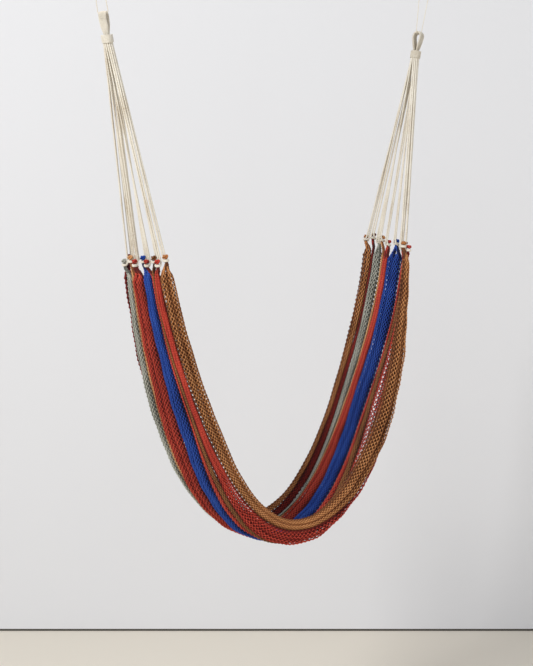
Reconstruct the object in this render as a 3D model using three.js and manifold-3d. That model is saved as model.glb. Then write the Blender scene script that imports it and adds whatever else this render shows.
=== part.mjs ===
// A net hammock hanging unloaded between two ceiling brackets.
// Ten coloured netting stripes make the gathered bed. At each end every stripe is tied off in a knot,
// a doubled harness cord is looped round the knot's neck, and all harness cords run up into one bound eye.
// Millimetres, +X along the hanging line, +Y to the far side of the bed, +Z up.
// The origin is on the ceiling plane, midway between the two brackets.

import * as THREE from 'three';
import { mergeVertices } from 'three/addons/utils/BufferGeometryUtils.js';
import Module from 'manifold-3d';

const wasm = await Module();
wasm.setup();

// Hanging curve of the bed: a catenary between the two rows of knots.
const bedCurve = 188;
const knotHalfSpan = 450;
const barDrop = 40;
const barReach = 816;

// How far the bed's middle line wanders sideways between its ends.
const sideSwing = 38;
const sideLean = 12;

// The gathered bed is a soft channel. Sizes at five stations, evenly spaced from the left knots to the right.
const channelWidth = [196, 200, 222, 250, 178];
const farWall = [56, 58, 48, 40, 26];
const nearWall = [28, 80, 70, 66, 26];
const cornerSoftness = 24;

// Edges of the ten stripes at the same stations, as shares of the channel's girth from its far rim.
const stripeEdges = [
  [0, 0.11, 0.26, 0.345, 0.385, 0.565, 0.70, 0.72, 0.74, 0.84, 1],
  [0, 0.09, 0.19, 0.30, 0.33, 0.575, 0.74, 0.765, 0.80, 0.862, 1],
  [0, 0.06, 0.165, 0.19, 0.215, 0.40, 0.55, 0.64, 0.72, 0.905, 1],
  [0, 0.045, 0.108, 0.18, 0.20, 0.288, 0.452, 0.477, 0.535, 0.78, 1],
  [0, 0.15, 0.19, 0.35, 0.39, 0.49, 0.75, 0.79, 0.83, 0.87, 1],
];
const stripeGap = 3;
const stripeSides = 8;
const stripeSteps = 21;
const gatherLength = 32;

// Knots: where each stripe's neck sits round the channel at either end, and how the rows lean and stagger.
const knotShares = {
  left: [0.03, 0.125, 0.235, 0.335, 0.445, 0.56, 0.66, 0.75, 0.84, 0.95],
  right: [0.02, 0.14, 0.25, 0.34, 0.43, 0.63, 0.715, 0.797, 0.904, 1.005],
};
const knotStagger = 4;
const knotUneven = 4.5;
const rowLean = { left: 5, right: -11 };
const rowShift = { left: -20, right: -2 };
const neckRadius = 3.5;
const neckTop = 3.2;
const knotAlong = 6.2;
const knotAcross = 7.8;
const knotDeep = 6.3;
const knotRise = 10.4;
const knotSetBack = -0.6;

// Harness cords, and the bound sleeve that they run into.
const cordRadius = 2.5;
const cordSides = 5;
const ringRadius = 6.8;
const ringSweep = 110;
const ringSteps = 6;
const slotCounts = [1, 6, 13];
const slotRadii = [0, 5.6, 11.1];
const sleeveReach = 576;
const sleeveLength = 23;
const sleeveBore = 14;
const sleeveRadius = 16.2;
const legTuck = 12;

// Eye: a flat band bent round two arcs, narrower where it goes into the sleeve.
const eyeTopArc = 13.5;
const eyeFootArc = 4.2;
const eyeArcSpacing = 45;
const eyeFootReach = 597.7;
const bandThickness = 7;
const bandWidthTop = 22;
const bandWidthFoot = 15;
const bandChamfer = 2.2;
const eyeTurn = { left: -48, right: 12 };

// Thin hanging cord from each eye to its bracket.
const hangCordRadius = 1.25;
const hangCordSides = 6;
const tieSpacing = 16;
const tieRadius = 7.7;
const tieTurns = 1.25;
const tiePitch = 2.9;

// Ceiling brackets.
const plateSize = [110, 46, 5];
const screwRadius = 3;
const screwSpacing = 46;
const armSize = [8, 18];
const armSpacing = 38;
const barRadius = 6;
const barOverhang = 5;

const colours = {
  tan: 0xa9713c,
  red: 0xb5382c,
  maroon: 0x7a1d1b,
  grey: 0x9b9c92,
  blue: 0x1f3f8f,
  cotton: 0xe6dcc8,
  steel: 0x9a9da0,
};
const stripeNames = [
  'stripe_01_tan', 'stripe_02_maroon', 'stripe_03_grey', 'stripe_04_tan', 'stripe_05_red',
  'stripe_06_blue', 'stripe_07_red', 'stripe_08_tan', 'stripe_09_red', 'stripe_10_tan',
];

// ---- Where things are ----

const endSteepness = Math.sinh(knotHalfSpan / bedCurve);
const endAngle = Math.atan(endSteepness);
const halfLength = bedCurve * endSteepness;
const knotHeight = -barDrop - barReach * Math.sin(endAngle);
const bellyHeight = knotHeight - bedCurve * (Math.cosh(knotHalfSpan / bedCurve) - 1);

// Catmull-Rom blend of values given at evenly spaced stations; u runs from -1 to 1.
function alongBed(values, u) {
  const place = THREE.MathUtils.clamp((u + 1) / 2, 0, 1) * (values.length - 1);
  const i = Math.min(Math.floor(place), values.length - 2);
  const f = place - i;
  const [b, c] = [values[i], values[i + 1]];
  const a = values[i - 1] ?? b;
  const d = values[i + 2] ?? c;
  return b + 0.5 * f * (c - a + f * (2 * a - 5 * b + 4 * c - d + f * (3 * (b - c) + d - a)));
}

function channelAt(u) {
  return {
    width: alongBed(channelWidth, u),
    far: alongBed(farWall, u),
    near: alongBed(nearWall, u),
    drift: -sideSwing * Math.sin(Math.PI * THREE.MathUtils.clamp(u, -1, 1)) - sideLean * u,
  };
}

function girth(channel) {
  return channel.far + channel.width + channel.near;
}

// Sideways and inward place of a point at distance t round the channel from its far rim.
function onChannel(channel, t) {
  let y = 0;
  let n = 0;
  const samples = [-1, -0.5, 0, 0.5, 1];
  for (const sample of samples) {
    const at = t + sample * cornerSoftness;
    const past = at - channel.far - channel.width;
    if (at < channel.far) {
      y += channel.width / 2;
      n += channel.far - at;
    } else if (past < 0) {
      y += channel.width / 2 - (at - channel.far);
    } else {
      y -= channel.width / 2;
      n += past;
    }
  }
  return new THREE.Vector2(y / samples.length + channel.drift, n / samples.length);
}

// The same with the channel's own directions there: across runs along its girth, inward into the trough.
function channelFrame(channel, t) {
  const place = onChannel(channel, t);
  const across = onChannel(channel, t + 2).sub(onChannel(channel, t - 2)).normalize();
  return { place, across, inward: new THREE.Vector2(across.y, -across.x) };
}

// A point of the bed at curve length s from its lowest point, y sideways and n inward.
function bedPoint(s, y, n) {
  const slope = s / bedCurve;
  const angle = Math.atan(slope);
  return new THREE.Vector3(
    bedCurve * Math.asinh(slope) - n * Math.sin(angle),
    y,
    bellyHeight + bedCurve * (Math.hypot(1, slope) - 1) + n * Math.cos(angle),
  );
}

// A point of the straight harness: a along it from the row of knots, y sideways and n inward.
function harnessPoint(side, a, y, n) {
  return new THREE.Vector3(
    side * (knotHalfSpan + a * Math.cos(endAngle) - n * Math.sin(endAngle)),
    y,
    knotHeight + a * Math.sin(endAngle) + n * Math.cos(endAngle),
  );
}

function sideName(side) {
  return side < 0 ? 'left' : 'right';
}

// The neck that a knot is tied on: its place, the channel's directions there and how far it sits up the harness.
function knotFrame(side, index) {
  const name = sideName(side);
  const end = channelAt(side);
  const share = knotShares[name][index];
  const lean = (-2 * rowLean[name] * (onChannel(end, share * girth(end)).x - end.drift)) / end.width;
  const lift = lean + rowShift[name] + (index % 2 ? knotUneven : -knotUneven);
  const channel = channelAt(side * (1 + lift / halfLength));
  const frame = channelFrame(channel, share * girth(channel));
  frame.lift = lift;
  frame.stagger = index % 2 ? knotStagger : -knotStagger;
  return frame;
}

function byKnot(side, frame, a, across, inward) {
  const at = frame.place.clone()
    .addScaledVector(frame.across, across)
    .addScaledVector(frame.inward, inward + frame.stagger);
  return harnessPoint(side, a + frame.lift, at.x, at.y);
}

// ---- Solids ----

// Turns a closed surface so that its faces point out.
function facingOut(geometry) {
  const solid = geometry.index ? geometry : mergeVertices(geometry);
  const { array: index } = solid.index;
  const position = solid.attributes.position;
  const [a, b, c] = [new THREE.Vector3(), new THREE.Vector3(), new THREE.Vector3()];
  let volume = 0;
  for (let i = 0; i < index.length; i += 3) {
    a.fromBufferAttribute(position, index[i]);
    b.fromBufferAttribute(position, index[i + 1]);
    c.fromBufferAttribute(position, index[i + 2]);
    volume += a.dot(b.cross(c));
  }
  if (volume < 0) {
    for (let i = 0; i < index.length; i += 3) {
      [index[i], index[i + 1]] = [index[i + 1], index[i]];
    }
  }
  solid.computeVertexNormals();
  return solid;
}

// Skin over a row of rings with the same number of points, capped at both ends or closed on itself.
function loft(rings, closed) {
  const sides = rings[0].length;
  const points = rings.flat();
  const index = [];
  const last = closed ? rings.length : rings.length - 1;
  for (let r = 0; r < last; r += 1) {
    for (let k = 0; k < sides; k += 1) {
      const a = r * sides + k;
      const b = r * sides + ((k + 1) % sides);
      const c = (a + sides) % points.length;
      const d = (b + sides) % points.length;
      index.push(a, b, d, a, d, c);
    }
  }
  if (!closed) {
    const end = (rings.length - 1) * sides;
    for (let k = 1; k < sides - 1; k += 1) {
      index.push(0, k + 1, k, end, end + k, end + k + 1);
    }
  }
  const geometry = new THREE.BufferGeometry().setFromPoints(points);
  geometry.setIndex(index);
  return facingOut(geometry);
}

// A path that passes exactly through its stations.
class StationPath extends THREE.Curve {
  constructor(stations) {
    super();
    this.stations = stations;
  }

  getPoint(t, target = new THREE.Vector3()) {
    const place = t * (this.stations.length - 1);
    const i = Math.min(Math.floor(place + 1e-6), this.stations.length - 2);
    return target.lerpVectors(this.stations[i], this.stations[i + 1], place - i);
  }

  getPointAt(t, target) {
    return this.getPoint(t, target);
  }

  getTangentAt(t, target = new THREE.Vector3()) {
    const i = Math.round(t * (this.stations.length - 1));
    const here = this.stations[i];
    target.set(0, 0, 0);
    for (const [from, to] of [[this.stations[i - 1], here], [here, this.stations[i + 1]]]) {
      if (from && to) {
        target.add(to.clone().sub(from).normalize());
      }
    }
    return target.normalize();
  }
}

function tube(stations, radius, sides) {
  const outline = [];
  for (let k = 0; k < sides; k += 1) {
    const angle = (k / sides) * 2 * Math.PI;
    outline.push(new THREE.Vector2(radius * Math.cos(angle), radius * Math.sin(angle)));
  }
  const options = { steps: stations.length - 1, extrudePath: new StationPath(stations), bevelEnabled: false };
  const geometry = new THREE.ExtrudeGeometry(new THREE.Shape(outline), options);
  geometry.deleteAttribute('uv');
  geometry.deleteAttribute('normal');
  return facingOut(mergeVertices(geometry, 1e-4));
}

function toManifold(geometry) {
  const bare = geometry.clone();
  bare.deleteAttribute('uv');
  bare.deleteAttribute('normal');
  const merged = mergeVertices(bare, 1e-4);
  return new wasm.Manifold(new wasm.Mesh({
    numProp: 3,
    vertProperties: new Float32Array(merged.attributes.position.array),
    triVerts: new Uint32Array(merged.index.array),
  }));
}

function fromManifold(solid) {
  const mesh = solid.getMesh();
  const geometry = new THREE.BufferGeometry();
  geometry.setAttribute('position', new THREE.BufferAttribute(new Float32Array(mesh.vertProperties), 3));
  geometry.setIndex(new THREE.BufferAttribute(new Uint32Array(mesh.triVerts), 1));
  geometry.computeVertexNormals();
  return geometry;
}

// ---- The hammock ----

const hammock = new THREE.Group();

function addPiece(name, geometry, colour, roughness = 0.9, metalness = 0) {
  const material = new THREE.MeshStandardMaterial({ color: colour, roughness, metalness });
  const mesh = new THREE.Mesh(geometry, material);
  mesh.name = name;
  hammock.add(mesh);
}

// Curve lengths at which a stripe's rings stand: close together at the necks and round the belly.
function stripeStations(leftNeck, rightNeck) {
  const gather = [-neckTop, 5, 13, 22, gatherLength];
  const stations = gather.map((d) => leftNeck + d);
  for (let i = 1; i < stripeSteps; i += 1) {
    const v = (2 * i) / stripeSteps - 1;
    const s = halfLength * (0.45 * v + 0.5 * v ** 3);
    if (s > leftNeck + gatherLength + 20 && s < rightNeck - gatherLength - 20) {
      stations.push(s);
    }
  }
  return stations.concat(gather.map((d) => rightNeck - d).reverse());
}

function stripeGeometry(index) {
  const necks = [knotFrame(-1, index), knotFrame(1, index)];
  const leftNeck = -halfLength - necks[0].lift;
  const rightNeck = halfLength + necks[1].lift;
  const rings = stripeStations(leftNeck, rightNeck).map((s) => {
    const u = s / halfLength;
    const channel = channelAt(u);
    const around = girth(channel);
    const side = s < 0 ? 'left' : 'right';
    const fromNeck = Math.min(s - leftNeck, rightNeck - s);
    const opened = THREE.MathUtils.smoothstep(fromNeck, 3.5, gatherLength);
    const [low, high] = [0, 1].map((k) => alongBed(stripeEdges.map((edges) => edges[index + k]), u) * around);
    const halfNet = Math.max((high - low - stripeGap) / 2, 1.5);
    const bulge = THREE.MathUtils.clamp(halfNet * 0.3, 1.5, 7);
    const middle = THREE.MathUtils.lerp(knotShares[side][index] * around, (low + high) / 2, opened);
    const halfWidth = THREE.MathUtils.lerp(neckRadius, halfNet, opened);
    const halfThick = THREE.MathUtils.lerp(neckRadius, bulge, opened);
    const stagger = necks[s < 0 ? 0 : 1].stagger * (1 - opened);
    const ring = [];
    for (let k = 0; k < stripeSides; k += 1) {
      const angle = ((k + 0.5) / stripeSides) * 2 * Math.PI;
      const frame = channelFrame(channel, middle + halfWidth * Math.cos(angle));
      const at = frame.place.addScaledVector(frame.inward, halfThick * Math.sin(angle) + stagger);
      ring.push(bedPoint(s, at.x, at.y));
    }
    return ring;
  });
  return loft(rings, false);
}

stripeNames.forEach((name, index) => {
  addPiece(name, stripeGeometry(index), colours[name.split('_').pop()]);
});

// The places inside the sleeve where harness legs end, ring by ring from the middle.
function sleeveSlots() {
  const slots = [];
  slotCounts.forEach((count, ring) => {
    for (let k = 0; k < count; k += 1) {
      const angle = (k / count) * 2 * Math.PI;
      slots.push(new THREE.Vector2(slotRadii[ring] * Math.cos(angle), slotRadii[ring] * Math.sin(angle)));
    }
  });
  return slots;
}

// Gives every leg the slot that keeps the straight legs from crossing: pairs are swapped while that helps.
function sortLegs(feet, slots) {
  let swapped = true;
  while (swapped) {
    swapped = false;
    for (let i = 0; i < feet.length; i += 1) {
      for (let j = 0; j < i; j += 1) {
        const gain = feet[i].clone().sub(feet[j]).dot(slots[i].clone().sub(slots[j]));
        if (gain < -1e-6) {
          [slots[i], slots[j]] = [slots[j], slots[i]];
          swapped = true;
        }
      }
    }
  }
  return slots;
}

function knotGeometry(side, frame) {
  const rows = 6;
  const rings = [];
  for (let r = 0; r < rows; r += 1) {
    const rise = Math.PI * ((r + 0.35) / (rows - 0.3));
    const ring = [];
    for (let k = 0; k < stripeSides; k += 1) {
      const angle = (k / stripeSides) * 2 * Math.PI;
      const across = knotAcross * Math.sin(rise) * Math.cos(angle);
      const inward = knotSetBack + knotDeep * Math.sin(rise) * Math.sin(angle);
      ring.push(byKnot(side, frame, knotRise - knotAlong * Math.cos(rise), across, inward));
    }
    rings.push(ring);
  }
  return loft(rings, false);
}

// One doubled cord: down from its first slot, round the neck under the knot, and back up to its second slot.
function harnessCord(side, frame, [firstSlot, secondSlot]) {
  const leg = (slot, hand) => [
    harnessPoint(side, sleeveReach + legTuck, slot.x, slot.y),
    harnessPoint(side, sleeveReach - 3, slot.x, slot.y),
    byKnot(side, frame, 12, hand * 3.2, 9.4),
    byKnot(side, frame, 5, hand * 4.8, 8.4),
    byKnot(side, frame, 1.6, hand * 6, 5.4),
  ];
  const round = [];
  for (let k = 0; k <= ringSteps; k += 1) {
    const angle = THREE.MathUtils.degToRad(ringSweep * ((2 * k) / ringSteps - 1));
    round.push(byKnot(side, frame, 0, ringRadius * Math.sin(angle), -ringRadius * Math.cos(angle)));
  }
  return tube([...leg(firstSlot, -1), ...round, ...leg(secondSlot, 1).reverse()], cordRadius, cordSides);
}

function eyeGeometry(side, turn) {
  const lean = Math.asin((eyeTopArc - eyeFootArc) / eyeArcSpacing);
  const stops = [];
  const arc = (centre, radius, from, to, steps) => {
    for (let k = 0; k <= steps; k += 1) {
      const angle = from + ((to - from) * k) / steps;
      stops.push({ centre, radius, angle });
    }
  };
  arc(eyeArcSpacing, eyeTopArc, -lean, Math.PI + lean, 10);
  arc(0, eyeFootArc, Math.PI + lean, 2 * Math.PI - lean, 6);
  const rings = stops.map(({ centre, radius, angle }) => {
    const height = centre + radius * Math.sin(angle);
    const share = THREE.MathUtils.smoothstep(height, 0, eyeArcSpacing * 0.6);
    const half = THREE.MathUtils.lerp(bandWidthFoot, bandWidthTop, share) / 2;
    const thick = bandThickness / 2;
    const outline = [
      [thick, half - bandChamfer], [thick, bandChamfer - half], [thick - bandChamfer, -half],
      [bandChamfer - thick, -half], [-thick, bandChamfer - half], [-thick, half - bandChamfer],
      [bandChamfer - thick, half], [thick - bandChamfer, half],
    ];
    return outline.map(([out, along]) => {
      const reach = (radius + out) * Math.cos(angle);
      const a = eyeFootReach + centre + (radius + out) * Math.sin(angle);
      const y = reach * Math.cos(turn) + along * Math.sin(turn);
      const n = -side * (along * Math.cos(turn) - reach * Math.sin(turn));
      return harnessPoint(side, a, y, n);
    });
  });
  return loft(rings, true);
}

function sleeveGeometry(side) {
  const outline = [
    [sleeveBore, 0], [sleeveRadius - 0.8, 0], [sleeveRadius, 2], [sleeveRadius, sleeveLength - 3],
    [sleeveRadius - 1, sleeveLength], [sleeveBore, sleeveLength], [sleeveBore, 0],
  ].map(([radius, height]) => new THREE.Vector2(radius, height));
  const geometry = new THREE.LatheGeometry(outline, 18);
  const up = harnessPoint(side, 1, 0, 0).sub(harnessPoint(side, 0, 0, 0));
  geometry.rotateX(Math.PI / 2);
  geometry.applyQuaternion(new THREE.Quaternion().setFromUnitVectors(new THREE.Vector3(0, 0, 1), up));
  geometry.translate(...harnessPoint(side, sleeveReach, 0, 0).toArray());
  geometry.deleteAttribute('uv');
  geometry.deleteAttribute('normal');
  return facingOut(mergeVertices(geometry, 1e-4));
}

// The hanging cord passes under the eye's top and is wound round the bracket's bar at both its ends.
function hangCord(side, turn) {
  const top = eyeFootReach + eyeArcSpacing + eyeTopArc - bandThickness / 2;
  const bar = harnessPoint(side, barReach, 0, 0);
  const bend = [[14, 9], [13.6, 4], [12.2, 0], [8.6, -1.7], [0, -1.6]];
  const strand = (hand) => {
    const ahead = -hand * Math.sign(Math.sin(turn)) || hand;
    const stations = [];
    const windings = 16;
    for (let k = 0; k <= windings; k += 1) {
      const angle = 2 * Math.PI * tieTurns * (1 - k / windings);
      const along = hand * (tieSpacing + tiePitch * tieTurns * (1 - k / windings));
      stations.push(new THREE.Vector3(
        bar.x + along,
        ahead * tieRadius * Math.cos(angle),
        bar.z + tieRadius * Math.sin(angle),
      ));
    }
    for (const [out, rise] of bend) {
      const along = hand * out;
      stations.push(harnessPoint(side, top + rise, along * Math.sin(turn), -side * along * Math.cos(turn)));
    }
    return stations;
  };
  return [...strand(-1), ...strand(1).slice(0, -1).reverse()];
}

function bracketGeometry(side) {
  const barX = harnessPoint(side, barReach, 0, 0).x;
  const plate = new THREE.BoxGeometry(...plateSize).translate(barX, 0, -plateSize[2] / 2);
  const armLength = barDrop + barRadius - 1;
  let solid = toManifold(plate);
  for (const hand of [-1, 1]) {
    const arm = new THREE.BoxGeometry(armSize[0], armSize[1], armLength);
    arm.translate(barX + hand * armSpacing, 0, -armLength / 2 - 1);
    solid = solid.add(toManifold(arm));
  }
  const bar = new THREE.CylinderGeometry(barRadius, barRadius, 2 * (armSpacing + armSize[0] / 2 + barOverhang), 20);
  bar.rotateZ(Math.PI / 2).translate(barX, 0, -barDrop);
  solid = solid.add(toManifold(bar));
  for (const hand of [-1, 1]) {
    const hole = new THREE.CylinderGeometry(screwRadius, screwRadius, 4 * plateSize[2], 16);
    hole.rotateX(Math.PI / 2).translate(barX + hand * screwSpacing, 0, -plateSize[2] / 2);
    solid = solid.subtract(toManifold(hole));
  }
  return fromManifold(solid);
}

for (const side of [-1, 1]) {
  const name = sideName(side);
  const turn = THREE.MathUtils.degToRad(eyeTurn[name]);
  const frames = stripeNames.map((_, index) => knotFrame(side, index));
  const feet = frames.flatMap((frame) => [-1, 1].map((hand) => frame.place.clone()
    .addScaledVector(frame.across, hand * 3.2)
    .addScaledVector(frame.inward, 9.4 + frame.stagger)));
  const slots = sortLegs(feet, sleeveSlots());
  frames.forEach((frame, index) => {
    const number = String(index + 1).padStart(2, '0');
    const yarn = colours[stripeNames[index].split('_').pop()];
    addPiece(`${name}_knot_${number}`, knotGeometry(side, frame), yarn);
    addPiece(`${name}_harness_cord_${number}`, harnessCord(side, frame, slots.slice(2 * index)), colours.cotton);
  });
  addPiece(`${name}_eye`, eyeGeometry(side, turn), colours.cotton);
  addPiece(`${name}_eye_binding`, sleeveGeometry(side), colours.cotton);
  addPiece(`${name}_hanging_cord`, tube(hangCord(side, turn), hangCordRadius, hangCordSides), colours.cotton);
  addPiece(`${name}_bracket`, bracketGeometry(side), colours.steel, 0.35, 0.9);
}

export default hammock;
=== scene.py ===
import math

import bpy
import numpy as np
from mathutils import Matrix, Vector


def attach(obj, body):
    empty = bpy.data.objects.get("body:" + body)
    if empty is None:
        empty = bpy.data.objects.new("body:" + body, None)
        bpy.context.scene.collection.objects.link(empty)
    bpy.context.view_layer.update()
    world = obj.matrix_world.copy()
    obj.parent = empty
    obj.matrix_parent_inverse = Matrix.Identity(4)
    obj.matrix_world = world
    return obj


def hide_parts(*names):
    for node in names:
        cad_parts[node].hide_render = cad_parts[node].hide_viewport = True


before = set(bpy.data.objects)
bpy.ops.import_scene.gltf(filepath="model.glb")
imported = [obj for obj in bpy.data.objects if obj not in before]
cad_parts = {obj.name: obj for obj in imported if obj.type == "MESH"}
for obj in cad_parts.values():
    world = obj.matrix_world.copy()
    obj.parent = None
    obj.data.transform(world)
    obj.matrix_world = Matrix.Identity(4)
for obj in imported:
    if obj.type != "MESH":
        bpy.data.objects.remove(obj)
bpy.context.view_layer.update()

# Measures repeat those of the solids, in millimetres.
bedCurve, knotHalfSpan, barDrop, barReach = 188, 450, 40, 816
sideSwing, sideLean = 38, 12
channelWidth = [196, 200, 222, 250, 178]
farWall = [56, 58, 48, 40, 26]
nearWall = [28, 80, 70, 66, 26]
cornerSoftness = 24
stripeEdges = np.array([
    [0, 0.11, 0.26, 0.345, 0.385, 0.565, 0.70, 0.72, 0.74, 0.84, 1],
    [0, 0.09, 0.19, 0.30, 0.33, 0.575, 0.74, 0.765, 0.80, 0.862, 1],
    [0, 0.06, 0.165, 0.19, 0.215, 0.40, 0.55, 0.64, 0.72, 0.905, 1],
    [0, 0.045, 0.108, 0.18, 0.20, 0.288, 0.452, 0.477, 0.535, 0.78, 1],
    [0, 0.15, 0.19, 0.35, 0.39, 0.49, 0.75, 0.79, 0.83, 0.87, 1],
])
knotShares = {
    -1: [0.03, 0.125, 0.235, 0.335, 0.445, 0.56, 0.66, 0.75, 0.84, 0.95],
    1: [0.02, 0.14, 0.25, 0.34, 0.43, 0.63, 0.715, 0.797, 0.904, 1.005],
}
knotStagger, knotUneven = 4, 4.5
rowLean = {-1: 5, 1: -11}
rowShift = {-1: -20, 1: -2}
neckRadius, neckTop, gatherLength = 3.5, 3.2, 32
ringRadius, ringSweep = 6.8, 110
slotCounts, slotRadii = [1, 6, 13], [0, 5.6, 11.1]
sleeveReach, sleeveLength, sleeveBore = 576, 23, 14
eyeTopArc, eyeFootArc, eyeArcSpacing, eyeFootReach = 13.5, 4.2, 45, 597.7
bandThickness, bandWidthTop, bandWidthFoot = 7, 22, 15
eyeTurn = {-1: math.radians(-48), 1: math.radians(12)}
tieSpacing, tieRadius, tieTurns, tiePitch = 16, 7.7, 1.25, 2.9
sideNames = {-1: "left", 1: "right"}

# One row per stripe: colour, strands round the roll, sub-braids at each end, how deep its middle
# crease is, and how thick the strands inside it are.
stripes = {
    "stripe_01_tan": ("tan", 10, 2, 0.0, 2.0),
    "stripe_02_maroon": ("maroon", 12, 2, 0.2, 2.0),
    "stripe_03_grey": ("grey", 14, 2, 0.2, 2.0),
    "stripe_04_tan": ("lightTan", 8, 1, 0.0, 2.0),
    "stripe_05_red": ("red", 26, 2, 0.35, 2.0),
    "stripe_06_blue": ("blue", 28, 2, 0.2, 2.0),
    "stripe_07_red": ("red", 10, 1, 0.0, 2.0),
    # Stripe 8 is tan yarn, coloured with that tan darkened by painted shade.
    "stripe_08_tan": ("tanInPaintedShade", 12, 1, 0.0, 2.0),
    "stripe_09_red": ("redDark", 24, 2, 0.3, 1.0),
    "stripe_10_tan": ("tan", 22, 2, 0.5, 2.0),
}
yarnRadius = 1.5
weaveDepth = 1.1
strandStep = 3.6
# The first of these darkens the inner strands, as painted shade inside each roll.
innerShade, outerThickness = 0.40, 0.92
braidStart, braidStop = 18, 50
twistRun = 16  # millimetres from the neck for each radian of a sub-braid's turn

endSteepness = math.sinh(knotHalfSpan / bedCurve)
endAngle = math.atan(endSteepness)
halfLength = bedCurve * endSteepness
knotHeight = -barDrop - barReach * math.sin(endAngle)
bellyHeight = knotHeight - bedCurve * (math.cosh(knotHalfSpan / bedCurve) - 1)


def smooth(x, low, high):
    f = np.clip((np.asarray(x, float) - low) / (high - low), 0, 1)
    return f * f * (3 - 2 * f)


def alongBed(values, u):
    padded = np.concatenate([[values[0]], values, [values[-1]]])
    place = np.clip((np.asarray(u, float) + 1) / 2, 0, 1) * (len(values) - 1)
    i = np.minimum(place.astype(int), len(values) - 2)
    f = place - i
    a, b, c, d = (padded[i + k] for k in range(4))
    return b + 0.5 * f * (c - a + f * (2 * a - 5 * b + 4 * c - d + f * (3 * (b - c) + d - a)))


def channelAt(u):
    u = np.asarray(u, float)
    drift = -sideSwing * np.sin(np.pi * np.clip(u, -1, 1)) - sideLean * u
    return {"width": alongBed(channelWidth, u), "far": alongBed(farWall, u),
            "near": alongBed(nearWall, u), "drift": drift}


def girth(channel):
    return channel["far"] + channel["width"] + channel["near"]


def onChannel(channel, t):
    y = n = 0
    for sample in (-1, -0.5, 0, 0.5, 1):
        at = t + sample * cornerSoftness
        past = at - channel["far"] - channel["width"]
        onFar, onNear = at < channel["far"], past >= 0
        half = channel["width"] / 2
        y = y + np.where(onFar, half, np.where(onNear, -half, half - (at - channel["far"])))
        n = n + np.where(onFar, channel["far"] - at, np.where(onNear, past, 0))
    return y / 5 + channel["drift"], n / 5


def channelFrame(channel, t):
    y, n = onChannel(channel, t)
    yAfter, nAfter = onChannel(channel, t + 2)
    yBefore, nBefore = onChannel(channel, t - 2)
    dy, dn = yAfter - yBefore, nAfter - nBefore
    size = np.hypot(dy, dn)
    return y, n, dy / size, dn / size


def bedPoint(s, y, n):
    slope = s / bedCurve
    angle = np.arctan(slope)
    x = bedCurve * np.arcsinh(slope) - n * np.sin(angle)
    z = bellyHeight + bedCurve * (np.hypot(1, slope) - 1) + n * np.cos(angle)
    return np.stack(np.broadcast_arrays(x, y, z), -1) / 1000


def harnessPoint(side, a, y, n):
    x = side * (knotHalfSpan + a * math.cos(endAngle) - n * math.sin(endAngle))
    z = knotHeight + a * math.sin(endAngle) + n * math.cos(endAngle)
    return np.stack(np.broadcast_arrays(x, y, z), -1) / 1000


def knotFrame(side, index):
    end = channelAt(side)
    share = knotShares[side][index]
    lift = -2 * rowLean[side] * (onChannel(end, share * girth(end))[0] - end["drift"]) / end["width"]
    lift = lift + rowShift[side] + (knotUneven if index % 2 else -knotUneven)
    channel = channelAt(side * (1 + lift / halfLength))
    y, n, dy, dn = channelFrame(channel, share * girth(channel))
    return {"y": y, "n": n, "dy": dy, "dn": dn, "lift": lift,
            "stagger": knotStagger if index % 2 else -knotStagger}


def byKnot(side, knot, a, across, inward):
    inward = inward + knot["stagger"]
    y = knot["y"] + knot["dy"] * across + knot["dn"] * inward
    n = knot["n"] + knot["dn"] * across - knot["dy"] * inward
    return harnessPoint(side, a + knot["lift"], y, n)


# Shader maths: a thin wrapper so that sockets can be written as formulas

class Socket:
    def __init__(self, tree, socket):
        self.tree, self.socket = tree, socket

    def math(self, operation, *others):
        node = self.tree.nodes.new("ShaderNodeMath")
        node.operation = operation
        for place, value in zip(node.inputs, (self, *others)):
            wire(self.tree, place, value)
        return Socket(self.tree, node.outputs[0])

    def __add__(self, other):
        return self.math("ADD", other)

    def __mul__(self, other):
        return self.math("MULTIPLY", other)

    def __sub__(self, other):
        return self.math("SUBTRACT", other)

    def __rsub__(self, other):
        return (self * -1) + other

    __radd__, __rmul__ = __add__, __mul__


def wire(tree, place, value):
    if isinstance(value, Socket):
        tree.links.new(value.socket, place)
    else:
        place.default_value = value


def addNode(tree, kind, inputs=(), output=0, **settings):
    node = tree.nodes.new(kind)
    for name, value in settings.items():
        setattr(node, name, value)
    for name, value in dict(inputs).items():
        wire(tree, node.inputs[name], value)
    return Socket(tree, node.outputs[output])


def blend(tree, share, low, high):
    node = tree.nodes.new("ShaderNodeMix")
    node.data_type = "RGBA"
    wire(tree, node.inputs[0], share)
    wire(tree, node.inputs[6], low)
    wire(tree, node.inputs[7], high)
    return Socket(tree, node.outputs[2])


def linear(colour):
    return tuple(((c / 255 + 0.055) / 1.055) ** 2.4 if c > 10 else c / 255 / 12.92 for c in colour) + (1,)


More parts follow.
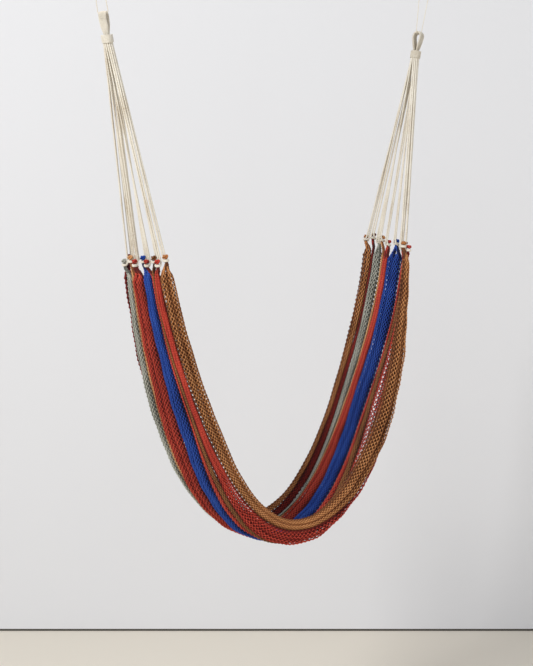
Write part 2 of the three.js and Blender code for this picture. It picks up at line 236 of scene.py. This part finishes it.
def clothMaterial(name, base, dark, light, strandCount=0, roughness=0.92):
    material = bpy.data.materials.new(name)
    material.use_nodes = True
    tree = material.node_tree
    shader = tree.nodes["Principled BSDF"]
    place = addNode(tree, "ShaderNodeTexCoord", output="Object")
    slow = addNode(tree, "ShaderNodeTexNoise", {"Vector": place, "Scale": 14.0, "Detail": 3.0})
    fibre = addNode(tree, "ShaderNodeTexNoise", {"Vector": place, "Scale": 420.0, "Detail": 2.0})
    shade = (slow - 0.5) * 0.9 + (fibre - 0.5) * 1.1 + 0.5
    height = fibre * 0.6
    if strandCount:
        uv = addNode(tree, "ShaderNodeUVMap", uv_map="OFBake")
        split = tree.nodes.new("ShaderNodeSeparateXYZ")
        wire(tree, split.inputs[0], uv)
        around = Socket(tree, split.outputs[0]) * strandCount
        along = Socket(tree, split.outputs[1]) * 620.0
        lay = ((around + along) * (2 * math.pi)).math("SINE")
        shade = shade + lay * 0.16
        height = height + lay * 0.4
        # On the netting, painted shade and highlight from the strands' shade attribute move the colour
        # towards the dark or the light end.
        shadow = addNode(tree, "ShaderNodeAttribute", output="Fac", attribute_name="shade")
        shade = shade * 0.8 + (shadow - 0.60) * 1.5
    shade = shade.math("MINIMUM", 1.0).math("MAXIMUM", 0.0)
    lower = blend(tree, (shade * 2).math("MINIMUM", 1.0), linear(dark), linear(base))
    colour = blend(tree, (shade * 2 - 1).math("MAXIMUM", 0.0), lower, linear(light))
    tree.links.new(colour.socket, shader.inputs["Base Color"])
    bump = addNode(tree, "ShaderNodeBump", {"Height": height, "Strength": 0.5, "Distance": 0.0006})
    tree.links.new(bump.socket, shader.inputs["Normal"])
    shader.inputs["Roughness"].default_value = roughness
    return material


# Geometry Nodes

def newTree(name, inputs):
    tree = bpy.data.node_groups.new(name, "GeometryNodeTree")
    tree.interface.new_socket("Geometry", in_out="INPUT", socket_type="NodeSocketGeometry")
    tree.interface.new_socket("Geometry", in_out="OUTPUT", socket_type="NodeSocketGeometry")
    for label, kind in inputs:
        tree.interface.new_socket(label, in_out="INPUT", socket_type=kind)
    return tree, tree.nodes.new("NodeGroupInput"), tree.nodes.new("NodeGroupOutput")


def outOf(tree, node, name):
    return Socket(tree, node.outputs[name])


def finishTree(tree, given, end, geometry):
    material = addNode(tree, "GeometryNodeSetMaterial",
                       {"Geometry": geometry, "Material": outOf(tree, given, "Material")})
    whole = addNode(tree, "GeometryNodeRealizeInstances", {"Geometry": material})
    wire(tree, end.inputs[0], whole)
    return tree


def nettingTree():
    tree, given, end = newTree("netting", [
        ("Yarn Radius", "NodeSocketFloat"), ("Knot Swell", "NodeSocketFloat"),
        ("Sides", "NodeSocketInt"), ("Material", "NodeSocketMaterial")])
    curve = addNode(tree, "GeometryNodeMeshToCurve", {"Mesh": outOf(tree, given, "Geometry")})
    index = addNode(tree, "GeometryNodeSplineParameter", output="Index")
    swing = (index * (math.pi / 2)).math("COSINE")
    across = addNode(tree, "GeometryNodeInputNamedAttribute", {"Name": "across"}, data_type="FLOAT_VECTOR")
    offset = tree.nodes.new("ShaderNodeVectorMath")
    offset.operation = "SCALE"
    wire(tree, offset.inputs[0], across)
    wire(tree, offset.inputs["Scale"], swing)
    moved = addNode(tree, "GeometryNodeSetPosition",
                    {"Geometry": curve, "Offset": Socket(tree, offset.outputs[0])})
    swell = swing.math("ABSOLUTE") * outOf(tree, given, "Knot Swell") + 1.0
    thickness = addNode(tree, "GeometryNodeInputNamedAttribute", {"Name": "thickness"}, data_type="FLOAT")
    yarnSize = swell * outOf(tree, given, "Yarn Radius") * thickness
    profile = addNode(tree, "GeometryNodeCurvePrimitiveCircle",
                      {"Resolution": outOf(tree, given, "Sides"), "Radius": 1.0})
    mesh = addNode(tree, "GeometryNodeCurveToMesh",
                   {"Curve": moved, "Profile Curve": profile, "Scale": yarnSize, "Fill Caps": True})
    return finishTree(tree, given, end, mesh)


def twistedCordTree():
    tree, given, end = newTree("twistedCord", [
        ("Cord Radius", "NodeSocketFloat"), ("Lay Length", "NodeSocketFloat"), ("Step", "NodeSocketFloat"),
        ("Sides", "NodeSocketInt"), ("Groove", "NodeSocketFloat"), ("Material", "NodeSocketMaterial")])
    curve = addNode(tree, "GeometryNodeMeshToCurve", {"Mesh": outOf(tree, given, "Geometry")})
    even = addNode(tree, "GeometryNodeResampleCurve",
                   {"Curve": curve, "Length": outOf(tree, given, "Step")}, mode="LENGTH")
    length = addNode(tree, "GeometryNodeSplineParameter", output="Length")
    turn = length.math("DIVIDE", outOf(tree, given, "Lay Length")) * (2 * math.pi)
    tilted = addNode(tree, "GeometryNodeSetCurveTilt", {"Curve": even, "Tilt": turn})
    circle = addNode(tree, "GeometryNodeCurvePrimitiveCircle",
                     {"Resolution": outOf(tree, given, "Sides"), "Radius": 1.0})
    place = addNode(tree, "GeometryNodeInputPosition")
    split = tree.nodes.new("ShaderNodeSeparateXYZ")
    wire(tree, split.inputs[0], place)
    angle = Socket(tree, split.outputs[1]).math("ARCTAN2", Socket(tree, split.outputs[0]))
    dent = ((angle * 3.0).math("COSINE") - 1.0) * outOf(tree, given, "Groove")
    offset = tree.nodes.new("ShaderNodeVectorMath")
    offset.operation = "SCALE"
    wire(tree, offset.inputs[0], place)
    wire(tree, offset.inputs["Scale"], dent)
    profile = addNode(tree, "GeometryNodeSetPosition",
                      {"Geometry": circle, "Offset": Socket(tree, offset.outputs[0])})
    mesh = addNode(tree, "GeometryNodeCurveToMesh",
                   {"Curve": tilted, "Profile Curve": profile, "Scale": outOf(tree, given, "Cord Radius"),
                    "Fill Caps": True})
    return finishTree(tree, given, end, mesh)


def guideMesh(name, lines, across=None, **values):
    counts = [len(line) for line in lines]
    points = np.concatenate(lines)
    starts = np.cumsum([0] + counts[:-1])
    edges = np.concatenate([np.stack([np.arange(s, s + c - 1), np.arange(s + 1, s + c)], 1)
                            for s, c in zip(starts, counts)])
    mesh = bpy.data.meshes.new(name)
    mesh.vertices.add(len(points))
    mesh.vertices.foreach_set("co", points.astype(np.float32).ravel())
    mesh.edges.add(len(edges))
    mesh.edges.foreach_set("vertices", edges.astype(np.int32).ravel())
    if across is not None:
        attribute = mesh.attributes.new("across", "FLOAT_VECTOR", "POINT")
        attribute.data.foreach_set("vector", np.concatenate(across).astype(np.float32).ravel())
    for label, value in values.items():
        attribute = mesh.attributes.new(label, "FLOAT", "POINT")
        attribute.data.foreach_set("value", np.concatenate(value).astype(np.float32))
    mesh.update()
    return mesh


def growPiece(name, mesh, tree, values):
    guide = bpy.data.objects.new(name + "_guide", mesh)
    bpy.context.collection.objects.link(guide)
    modifier = guide.modifiers.new("nodes", "NODES")
    modifier.node_group = tree
    for item in tree.interface.items_tree:
        if item.item_type == "SOCKET" and item.in_out == "INPUT" and item.name in values:
            modifier[item.identifier] = values[item.name]
    evaluated = guide.evaluated_get(bpy.context.evaluated_depsgraph_get())
    grown = bpy.data.meshes.new_from_object(evaluated)
    grown.name = name
    bpy.data.objects.remove(guide)
    piece = bpy.data.objects.new(name, grown)
    bpy.context.collection.objects.link(piece)
    for key in [k.name for k in grown.attributes if k.name in ("across", "thickness", "radius", "tilt")]:
        grown.attributes.remove(grown.attributes[key])
    grown.polygons.foreach_set("use_smooth", np.ones(len(grown.polygons), bool))
    return piece


# Gives each strand a strip of the texture: its length up it, its girth across it.
def layStrips(mesh, rings, sides, strands):
    loops = np.empty(len(mesh.loops), np.int32)
    mesh.loops.foreach_get("vertex_index", loops)
    starts = np.empty(len(mesh.polygons), np.int32)
    totals = np.empty(len(mesh.polygons), np.int32)
    mesh.polygons.foreach_get("loop_start", starts)
    mesh.polygons.foreach_get("loop_total", totals)
    strand, rest = np.divmod(loops, rings * sides)
    ring, side = np.divmod(rest, sides)
    face = np.repeat(np.arange(len(starts)), totals)
    widest = np.zeros(len(starts), np.int64)
    np.maximum.at(widest, face, side)
    wraps = (widest[face] == sides - 1) & (side == 0)
    place = (strand + 0.12 + 0.76 * (side + sides * wraps) / sides) / strands
    layer = mesh.uv_layers.new(name="OFBake")
    rise = 0.005 + 0.99 * ring / (rings - 1)
    layer.data.foreach_set("uv", np.stack([place, rise], 1).astype(np.float32).ravel())


netting = nettingTree()
twistedCord = twistedCordTree()

# Camera, first because the hanging cords leave its view

yaw, pitch = math.radians(37.95), math.radians(7.10)
cameraData = bpy.data.cameras.new("camera")
camera = bpy.data.objects.new("camera", cameraData)
bpy.context.collection.objects.link(camera)
bpy.context.scene.camera = camera
cameraData.sensor_width = 36
cameraData.lens = 81.08
towards = Vector((math.sin(yaw), math.cos(yaw), 0))
toRight = Vector((math.cos(yaw), -math.sin(yaw), 0))
camera.location = towards * -4.3503 + toRight * -0.0205 + Vector((0, 0, bellyHeight / 1000 + 1.1477))
camera.rotation_euler = (math.pi / 2 - pitch, 0, -yaw)
cameraData.clip_start, cameraData.clip_end = 0.1, 60

# Materials

# Each colour: its base, a darker end and a lighter end. Noise moves the tone between them at random; on the
# netting, painted shade and highlight move it as well.
palette = {
    "tan": ((182, 116, 64), (98, 54, 27), (218, 156, 100)),
    "lightTan": ((202, 142, 88), (128, 78, 42), (230, 180, 128)),
    # The next colour is the tan yarn of stripe 8, darkened with painted shade because that stripe lies in
    # shadow.
    "tanInPaintedShade": ((118, 70, 36), (60, 34, 16), (160, 106, 60)),
    "maroon": ((122, 32, 28), (58, 14, 13), (164, 54, 44)),
    "redDark": ((180, 52, 38), (90, 22, 17), (212, 80, 58)),
    "red": ((178, 52, 38), (88, 22, 17), (212, 84, 62)),
    "grey": ((164, 164, 152), (92, 92, 84), (204, 204, 192)),
    "blue": ((22, 62, 152), (7, 18, 62), (52, 94, 184)),
}
slots = {"tan": "tan_yarn", "lightTan": "tan_yarn", "tanInPaintedShade": "tan_yarn", "maroon": "maroon_yarn",
         "redDark": "red_yarn", "red": "red_yarn", "grey": "grey_yarn", "blue": "blue_yarn"}
cotton = clothMaterial("cotton", (232, 224, 208), (186, 166, 138), (246, 241, 230))
knotYarn = {key: clothMaterial("knot_" + key, *shades) for key, shades in palette.items()}

hammockBody = "hammock"


def settle(piece, slot, *nodes):
    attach(piece, hammockBody)
    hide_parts(*nodes)
    return piece


# Hanging cords

# Turns each corner of a line into a short curve that starts reach before it.
def roundCorners(points, reach, steps=5):
    points = [np.asarray(p, float) for p in points]
    line = [points[0]]
    for before, corner, after in zip(points, points[1:], points[2:]):
        into, out = corner - before, after - corner
        cut = min(reach, np.linalg.norm(into) * 0.49, np.linalg.norm(out) * 0.49)
        start = corner - into / np.linalg.norm(into) * cut
        stop = corner + out / np.linalg.norm(out) * cut
        for k in range(steps + 1):
            f = k / steps
            line.append((1 - f) ** 2 * start + 2 * f * (1 - f) * corner + f * f * stop)
    line.append(points[-1])
    return np.array(line)


def hangingLine(side):
    turn = eyeTurn[side]
    top = eyeFootReach + eyeArcSpacing + eyeTopArc - bandThickness / 2
    bar = harnessPoint(side, barReach, 0, 0)
    strands = []
    for hand in (-1, 1):
        ahead = -hand if math.sin(turn) > 0 else hand
        angle = 2 * math.pi * tieTurns * (1 - np.arange(33) / 32)
        along = hand * (tieSpacing + tiePitch * tieTurns * (1 - np.arange(33) / 32))
        winding = np.stack([bar[0] + along / 1000, ahead * tieRadius * np.cos(angle) / 1000,
                            bar[2] + tieRadius * np.sin(angle) / 1000], 1)
        bend = [harnessPoint(side, top + rise, hand * out * math.sin(turn),
                             -side * hand * out * math.cos(turn))
                for out, rise in ((14, 9), (13.6, 4), (12.2, 0), (8.6, -1.7), (0, -1.6))]
        strands.append((winding, bend))
    (firstWinding, firstBend), (secondWinding, secondBend) = strands
    middle = roundCorners([firstWinding[-1], *firstBend, *secondBend[::-1][1:], secondWinding[-1]], 0.0045)
    return np.concatenate([firstWinding, middle[1:-1], secondWinding[::-1]])


for side in (-1, 1):
    line = hangingLine(side)
    name = sideNames[side] + "_hanging_cord"
    piece = growPiece(name + "_lay", guideMesh(name, [line]), twistedCord, {
        "Cord Radius": 0.00125, "Lay Length": 0.006, "Step": 0.0012, "Sides": 9, "Groove": 0.07,
        "Material": cotton})
    settle(piece, "cotton_cord", name)
print("camera and hanging cords made")

# Netting

# Evenly spaced places round a flat roll: across it from -1 to 1, and its thickness share.
def rollSection(count):
    fine = np.linspace(0, 2 * math.pi, 721)
    run = np.concatenate([[0], np.cumsum(np.hypot(np.diff(np.cos(fine)), 0.35 * np.diff(np.sin(fine))))])
    angle = np.interp((np.arange(count) + 0.25) / count * run[-1], run, fine)
    return np.cos(angle), np.sign(np.sin(angle)) * np.abs(np.sin(angle)) ** 0.8


def stripeStrands(index, count, inner, braids, crease, innerThickness):
    necks = {side: knotFrame(side, index) for side in (-1, 1)}
    leftNeck = -halfLength - necks[-1]["lift"]
    rightNeck = halfLength + necks[1]["lift"]
    rings = int(round((rightNeck - leftNeck + 2 * neckTop) / strandStep))
    rings += 1 - rings % 2
    s = np.linspace(leftNeck - neckTop, rightNeck + neckTop, rings)
    u = s / halfLength
    channel = channelAt(u)
    around = girth(channel)
    fromNeck = np.minimum(s - leftNeck, rightNeck - s)
    opened = smooth(fromNeck, 3.5, gatherLength)
    low, high = (alongBed(stripeEdges[:, index + k], u) * around for k in (0, 1))
    halfNet = np.maximum((high - low) / 2 - 1.2, 2.0)
    bulge = np.clip(halfNet * 0.48, 2.5, 11)
    share = np.where(s < 0, knotShares[-1][index], knotShares[1][index])
    stagger = np.where(s < 0, necks[-1]["stagger"], necks[1]["stagger"]) * (1 - opened)
    middle = share * around * (1 - opened) + (low + high) / 2 * opened
    halfWidth = neckRadius * (1 - opened) + halfNet * opened
    halfThick = neckRadius * (1 - opened) + bulge * opened
    wave = np.sin(s / 61 + 1.7 * index) * 0.9 + np.sin(s / 23.7 + 2.9 * index) * 0.45

    across, depth = (np.concatenate(pair) for pair in zip(rollSection(count), rollSection(inner)))
    layer = np.concatenate([np.ones(count), np.full(inner, 0.5)])
    total = count + inner
    group = np.minimum(((across + 1) / 2 * braids).astype(int), braids - 1)
    groupPlace = (group + 0.5) / braids * 2 - 1
    order = np.zeros(total)
    size = np.zeros(total)
    for k in range(braids):
        inside = group == k
        order[inside] = np.arange(inside.sum())
        size[inside] = inside.sum()
    bundle = 0.7 * np.sqrt(size)
    parting = smooth(fromNeck, braidStart, braidStop)[:, None]
    turn = 2 * np.pi * order[None] / size[None] + fromNeck[:, None] / twistRun
    creaseAt = 0.12 * np.sin(s / 170 + index)[:, None]
    dent = 1 - crease * np.exp(-(((across[None] - creaseAt) / 0.2) ** 2))
    netAcross = halfWidth[:, None] * across * (0.3 + 0.7 * layer) + wave[:, None]
    swelling = 1 + (0.16 * np.sin(s / 37 + 2.3 * index) + 0.1 * np.sin(s / 14.3 + 1.1 * index))[:, None]
    netDeep = halfThick[:, None] * depth * dent * swelling * (layer * 1.2 - 0.2)
    loose = np.minimum(1, opened[:, None] * 4 + 0.6)
    braidAcross = halfWidth[:, None] * groupPlace * 0.8 + bundle * np.cos(turn) * loose
    braidDeep = bundle * np.sin(turn) * loose
    t = middle[:, None] + braidAcross * (1 - parting) + netAcross * parting
    deep = braidDeep * (1 - parting) + netDeep * parting + stagger[:, None]
    wide = {key: value[:, None] for key, value in channel.items()}
    y, n, dy, dn = channelFrame(wide, t)
    points = bedPoint(s[:, None], y + dn * deep, n - dy * deep)
    outer = weaveDepth * np.sign(depth)[None] * opened[:, None]
    lifted = bedPoint(s[:, None], y + dn * (deep + outer), n - dy * (deep + outer)) - points
    halves = [points[:, :count], points[:, count:]]
    sideways = np.concatenate([(np.roll(h, -1, 1) - np.roll(h, 1, 1)) / 4 for h in halves], 1)
    sign = np.where(np.arange(total) % 2, 1, -1)[None, :, None]
    inside = (layer < 1)[None, :, None]
    offset = (sideways * np.where(inside, 0.3, 1) + lifted * np.where(inside, 0, 1)) * sign
    # Painted shade and highlight for the strands, kept as their shade attribute: darker towards each roll's
    # edges and in its middle crease, darker still on the inner strands, lighter where a strand rides over its
    # neighbour and darker where it dips under.
    swing = np.cos(np.arange(rings) * np.pi / 2)[:, None] * sign[..., 0]
    edge = 1 - 0.65 * np.abs(across[None]) ** 5 * opened[:, None]
    shade = edge * (0.4 + 0.6 * dent) * (0.72 + 0.28 * swing)
    shade = shade * np.where(layer < 1, innerShade, 1)[None]
    thickness = np.broadcast_to(np.where(layer < 1, innerThickness, outerThickness)[None], shade.shape)
    return [np.swapaxes(a, 0, 1) for a in (points, offset, shade, thickness)]


for index, (name, (colour, count, braids, crease, innerThickness)) in enumerate(stripes.items()):
    inner = 2 * (count // 4)
    points, offset, shade, thickness = stripeStrands(index, count, inner, braids, crease, innerThickness)
    material = clothMaterial("net_" + name, *palette[colour], strandCount=count + inner)
    guide = guideMesh(name, list(points), list(offset), shade=shade, thickness=thickness)
    piece = growPiece(name + "_net", guide, netting, {
        "Yarn Radius": yarnRadius / 1000, "Knot Swell": 0.3, "Sides": 4, "Material": material})
    layStrips(piece.data, points.shape[1], 4, count + inner)
    settle(piece, slots[colour], name)
    [f"{sideNames[side]}_harness_cord_{index + 1:02d}" for side in (-1, 1)]
print("netting made")

# Harness

def sortedSlots(feet):
    slotsLeft = []
    for count, radius in zip(slotCounts, slotRadii):
        angle = np.arange(count) / count * 2 * np.pi
        slotsLeft += list(np.stack([radius * np.cos(angle), radius * np.sin(angle)], 1))
    swapped = True
    while swapped:
        swapped = False
        for i in range(len(feet)):
            for j in range(i):
                if np.dot(feet[i] - feet[j], slotsLeft[i] - slotsLeft[j]) < -1e-6:
                    slotsLeft[i], slotsLeft[j] = slotsLeft[j], slotsLeft[i]
                    swapped = True
    return slotsLeft


def harnessLine(side, knot, firstSlot, secondSlot):
    def leg(slot, hand):
        return [harnessPoint(side, sleeveReach + 12, slot[0], slot[1]),
                harnessPoint(side, sleeveReach - 3, slot[0], slot[1]),
                byKnot(side, knot, 12, hand * 3.2, 9.4),
                byKnot(side, knot, 5, hand * 4.8, 8.4),
                byKnot(side, knot, 1.6, hand * 6, 5.4)]
    angle = np.radians(np.linspace(-ringSweep, 360 + ringSweep, 37))
    rise = np.linspace(2.1, -2.1, 37)
    loop = [byKnot(side, knot, r, ringRadius * math.sin(a), -ringRadius * math.cos(a))
            for a, r in zip(angle, rise)]
    return np.array([*leg(firstSlot, -1), *loop, *leg(secondSlot, 1)[::-1]])


# An overhand knot's shape: a line wound twice through a ring, pulled tight.
def knotLine(side, knot, spin):
    t = np.linspace(0, 2 * np.pi, 90)
    ring = 4.1 + 1.9 * np.cos(3 * t)
    a = 10.4 + 3.3 * np.sin(3 * t) + 0.5 * np.sin(2 * t + spin)
    across = (ring + 1.0) * np.cos(2 * t + spin)
    inward = -0.6 + (ring - 0.2) * np.sin(2 * t + spin)
    return byKnot(side, knot, a, across, inward)


colourNames = [row[0] for row in stripes.values()]
for side in (-1, 1):
    knots = [knotFrame(side, index) for index in range(10)]
    feet = []
    for knot in knots:
        for hand in (-1, 1):
            inward = 9.4 + knot["stagger"]
            feet.append(np.array([knot["y"] + knot["dy"] * hand * 3.2 + knot["dn"] * inward,
                                  knot["n"] + knot["dn"] * hand * 3.2 - knot["dy"] * inward]))
    sleeveSlots = sortedSlots(feet)
    for index, knot in enumerate(knots):
        number = f"{index + 1:02d}"
        cordName = f"{sideNames[side]}_harness_cord_{number}"
        line = harnessLine(side, knot, *sleeveSlots[2 * index:2 * index + 2])
        cord = growPiece(cordName + "_lay", guideMesh(cordName, [line]), twistedCord, {
            "Cord Radius": 0.0026, "Lay Length": 0.019, "Step": 0.0018, "Sides": 12, "Groove": 0.08,
            "Material": cotton})
        settle(cord, "cotton_cord", cordName)
        knotName = f"{sideNames[side]}_knot_{number}"
        colour = colourNames[index]
        tied = growPiece(knotName + "_yarn", guideMesh(knotName, [knotLine(side, knot, 1.3 * index)]),
                         twistedCord, {"Cord Radius": 0.0024, "Lay Length": 0.009, "Step": 0.0009, "Sides": 9,
                                       "Groove": 0.08, "Material": knotYarn[colour]})
        settle(tied, slots[colour], knotName)
print("harness and knots made")

# Eyes and their bindings

def eyeStops():
    lean = math.asin((eyeTopArc - eyeFootArc) / eyeArcSpacing)
    stops = []
    for centre, radius, start, stop in ((eyeArcSpacing, eyeTopArc, -lean, math.pi + lean),
                                        (0, eyeFootArc, math.pi + lean, 2 * math.pi - lean)):
        for angle in np.linspace(start, stop, 40):
            stops.append((radius * math.cos(angle), centre + radius * math.sin(angle),
                          math.cos(angle), math.sin(angle)))
    stops.append(stops[0])
    return np.array(stops)


def eyeWinding(side, turn, cordRadius):
    stops = eyeStops()
    run = np.concatenate([[0], np.cumsum(np.hypot(*np.diff(stops[:, :2], axis=0).T))])
    windings = int(run[-1] / (2 * cordRadius * 0.98))
    count = windings * 20
    at = np.linspace(0, run[-1], count)
    reach, height, outX, outZ = (np.interp(at, run, stops[:, k]) for k in range(4))
    size = np.hypot(outX, outZ)
    outX, outZ = outX / size, outZ / size
    angle = np.arange(count) / 20 * 2 * np.pi
    width = bandWidthFoot + (bandWidthTop - bandWidthFoot) * smooth(height, 0, eyeArcSpacing * 0.6)
    corner = np.maximum(np.abs(np.cos(angle)) ** 4 + np.abs(np.sin(angle)) ** 4, 1e-6) ** -0.25
    out = (bandThickness / 2 - cordRadius) * np.cos(angle) * corner
    along = (width / 2 - cordRadius) * np.sin(angle) * corner
    reach = reach + out * outX
    height = height + out * outZ
    y = reach * math.cos(turn) + along * math.sin(turn)
    n = -side * (along * math.cos(turn) - reach * math.sin(turn))
    return harnessPoint(side, eyeFootReach + height, y, n)


def bindingWinding(side, cordRadius):
    radius = sleeveBore + cordRadius + 0.05
    windings = sleeveLength / (2 * cordRadius) - 1
    angle = np.linspace(0, windings * 2 * np.pi, int(windings * 28))
    a = sleeveReach + cordRadius + (sleeveLength - 2 * cordRadius) * angle / angle[-1]
    return harnessPoint(side, a, radius * np.cos(angle), radius * np.sin(angle))


for side in (-1, 1):
    eyeName = sideNames[side] + "_eye"
    windings = guideMesh(eyeName, [eyeWinding(side, eyeTurn[side], 1.15)])
    eye = growPiece(eyeName + "_wound", windings, twistedCord, {
        "Cord Radius": 0.00118, "Lay Length": 0.006, "Step": 0.0016, "Sides": 7, "Groove": 0.05,
        "Material": cotton})
    settle(eye, "cotton_cord", eyeName)
    bindingName = sideNames[side] + "_eye_binding"
    windings = guideMesh(bindingName, [bindingWinding(side, 1.05)])
    binding = growPiece(bindingName + "_wound", windings, twistedCord, {
        "Cord Radius": 0.00108, "Lay Length": 0.006, "Step": 0.0014, "Sides": 7, "Groove": 0.05,
        "Material": cotton})
    settle(binding, "cotton_cord", bindingName)
print("eyes made")

# Brackets

steel = bpy.data.materials.new("steel")
steel.use_nodes = True
steelTree = steel.node_tree
steelShader = steelTree.nodes["Principled BSDF"]
steelPlace = addNode(steelTree, "ShaderNodeTexCoord", output="Object")
steelNoise = addNode(steelTree, "ShaderNodeTexNoise", {"Vector": steelPlace, "Scale": 60.0, "Detail": 4.0})
steelTree.links.new(blend(steelTree, steelNoise, linear((132, 134, 137)), linear((176, 178, 180))).socket,
                    steelShader.inputs["Base Color"])
steelTree.links.new((steelNoise * 0.2 + 0.3).socket, steelShader.inputs["Roughness"])
steelShader.inputs["Metallic"].default_value = 0.85
for side in (-1, 1):
    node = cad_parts[sideNames[side] + "_bracket"]
    node.data.materials.clear()
    node.data.materials.append(steel)

# Room and light

def plainMaterial(name, colour, roughness):
    material = bpy.data.materials.new(name)
    material.use_nodes = True
    tree = material.node_tree
    shader = tree.nodes["Principled BSDF"]
    shader.inputs["Base Color"].default_value = linear(colour)
    shader.inputs["Roughness"].default_value = roughness
    # The room is clear from behind, so that a view from any side reaches the hammock.
    mixed = tree.nodes.new("ShaderNodeMixShader")
    wire(tree, mixed.inputs[0], addNode(tree, "ShaderNodeNewGeometry", output="Backfacing"))
    tree.links.new(shader.outputs[0], mixed.inputs[1])
    wire(tree, mixed.inputs[2], addNode(tree, "ShaderNodeBsdfTransparent"))
    tree.links.new(mixed.outputs[0], tree.nodes["Material Output"].inputs["Surface"])
    return material


def addSheet(name, corners, material):
    mesh = bpy.data.meshes.new(name)
    mesh.from_pydata([tuple(c) for c in corners], [], [(0, 1, 2, 3)])
    sheet = bpy.data.objects.new(name, mesh)
    mesh.materials.append(material)
    bpy.context.collection.objects.link(sheet)


floorDepth, footAngle, halfRoom, roomDepth = 5.6, math.radians(11.2), 14, 16
lineProud, lineHeight = 0.01, 0.008
floorHeight = camera.location.z - floorDepth * math.tan(pitch + footAngle)
foot = Vector((camera.location.x, camera.location.y, floorHeight)) + towards * floorDepth
wide = toRight * halfRoom
near = foot - towards * roomDepth
addSheet("floor", [foot + wide, foot - wide, near - wide, near + wide],
         plainMaterial("floor", (232, 224, 210), 0.8))
up = Vector((0, 0, 9))
addSheet("wall", [foot - wide, foot + wide, foot + wide + up, foot - wide + up],
         plainMaterial("wall", (230, 230, 232), 0.9))

lineFoot = foot - towards * lineProud
up = Vector((0, 0, lineHeight))
addSheet("wall_foot", [lineFoot - wide, lineFoot + wide, lineFoot + wide + up, lineFoot - wide + up],
         plainMaterial("wall_foot", (84, 80, 72), 0.9))


def addLight(name, place, target, size, power, colour=(1, 1, 1)):
    data = bpy.data.lights.new(name, "AREA")
    data.size, data.energy, data.color = size, power, colour
    light = bpy.data.objects.new(name, data)
    bpy.context.collection.objects.link(light)
    light.location = place
    light.rotation_euler = (Vector(target) - Vector(place)).to_track_quat("-Z", "Y").to_euler()


addLight("key", towards * -3.0 - toRight * 2.6 + Vector((0, 0, 1.6)), (0, 0, -1.0), 1.1, 138)
addLight("fill", towards * -3.0 + toRight * 3.2 + Vector((0, 0, 0.2)), (0, 0, -1.1), 2.4, 48)
world = bpy.data.worlds.new("world")
world.use_nodes = True
world.node_tree.nodes["Background"].inputs[0].default_value = (0.9, 0.94, 1.0, 1)
world.node_tree.nodes["Background"].inputs[1].default_value = 0.5
bpy.context.scene.world = world
bpy.context.scene.view_settings.view_transform = "Standard"

print("finished making")
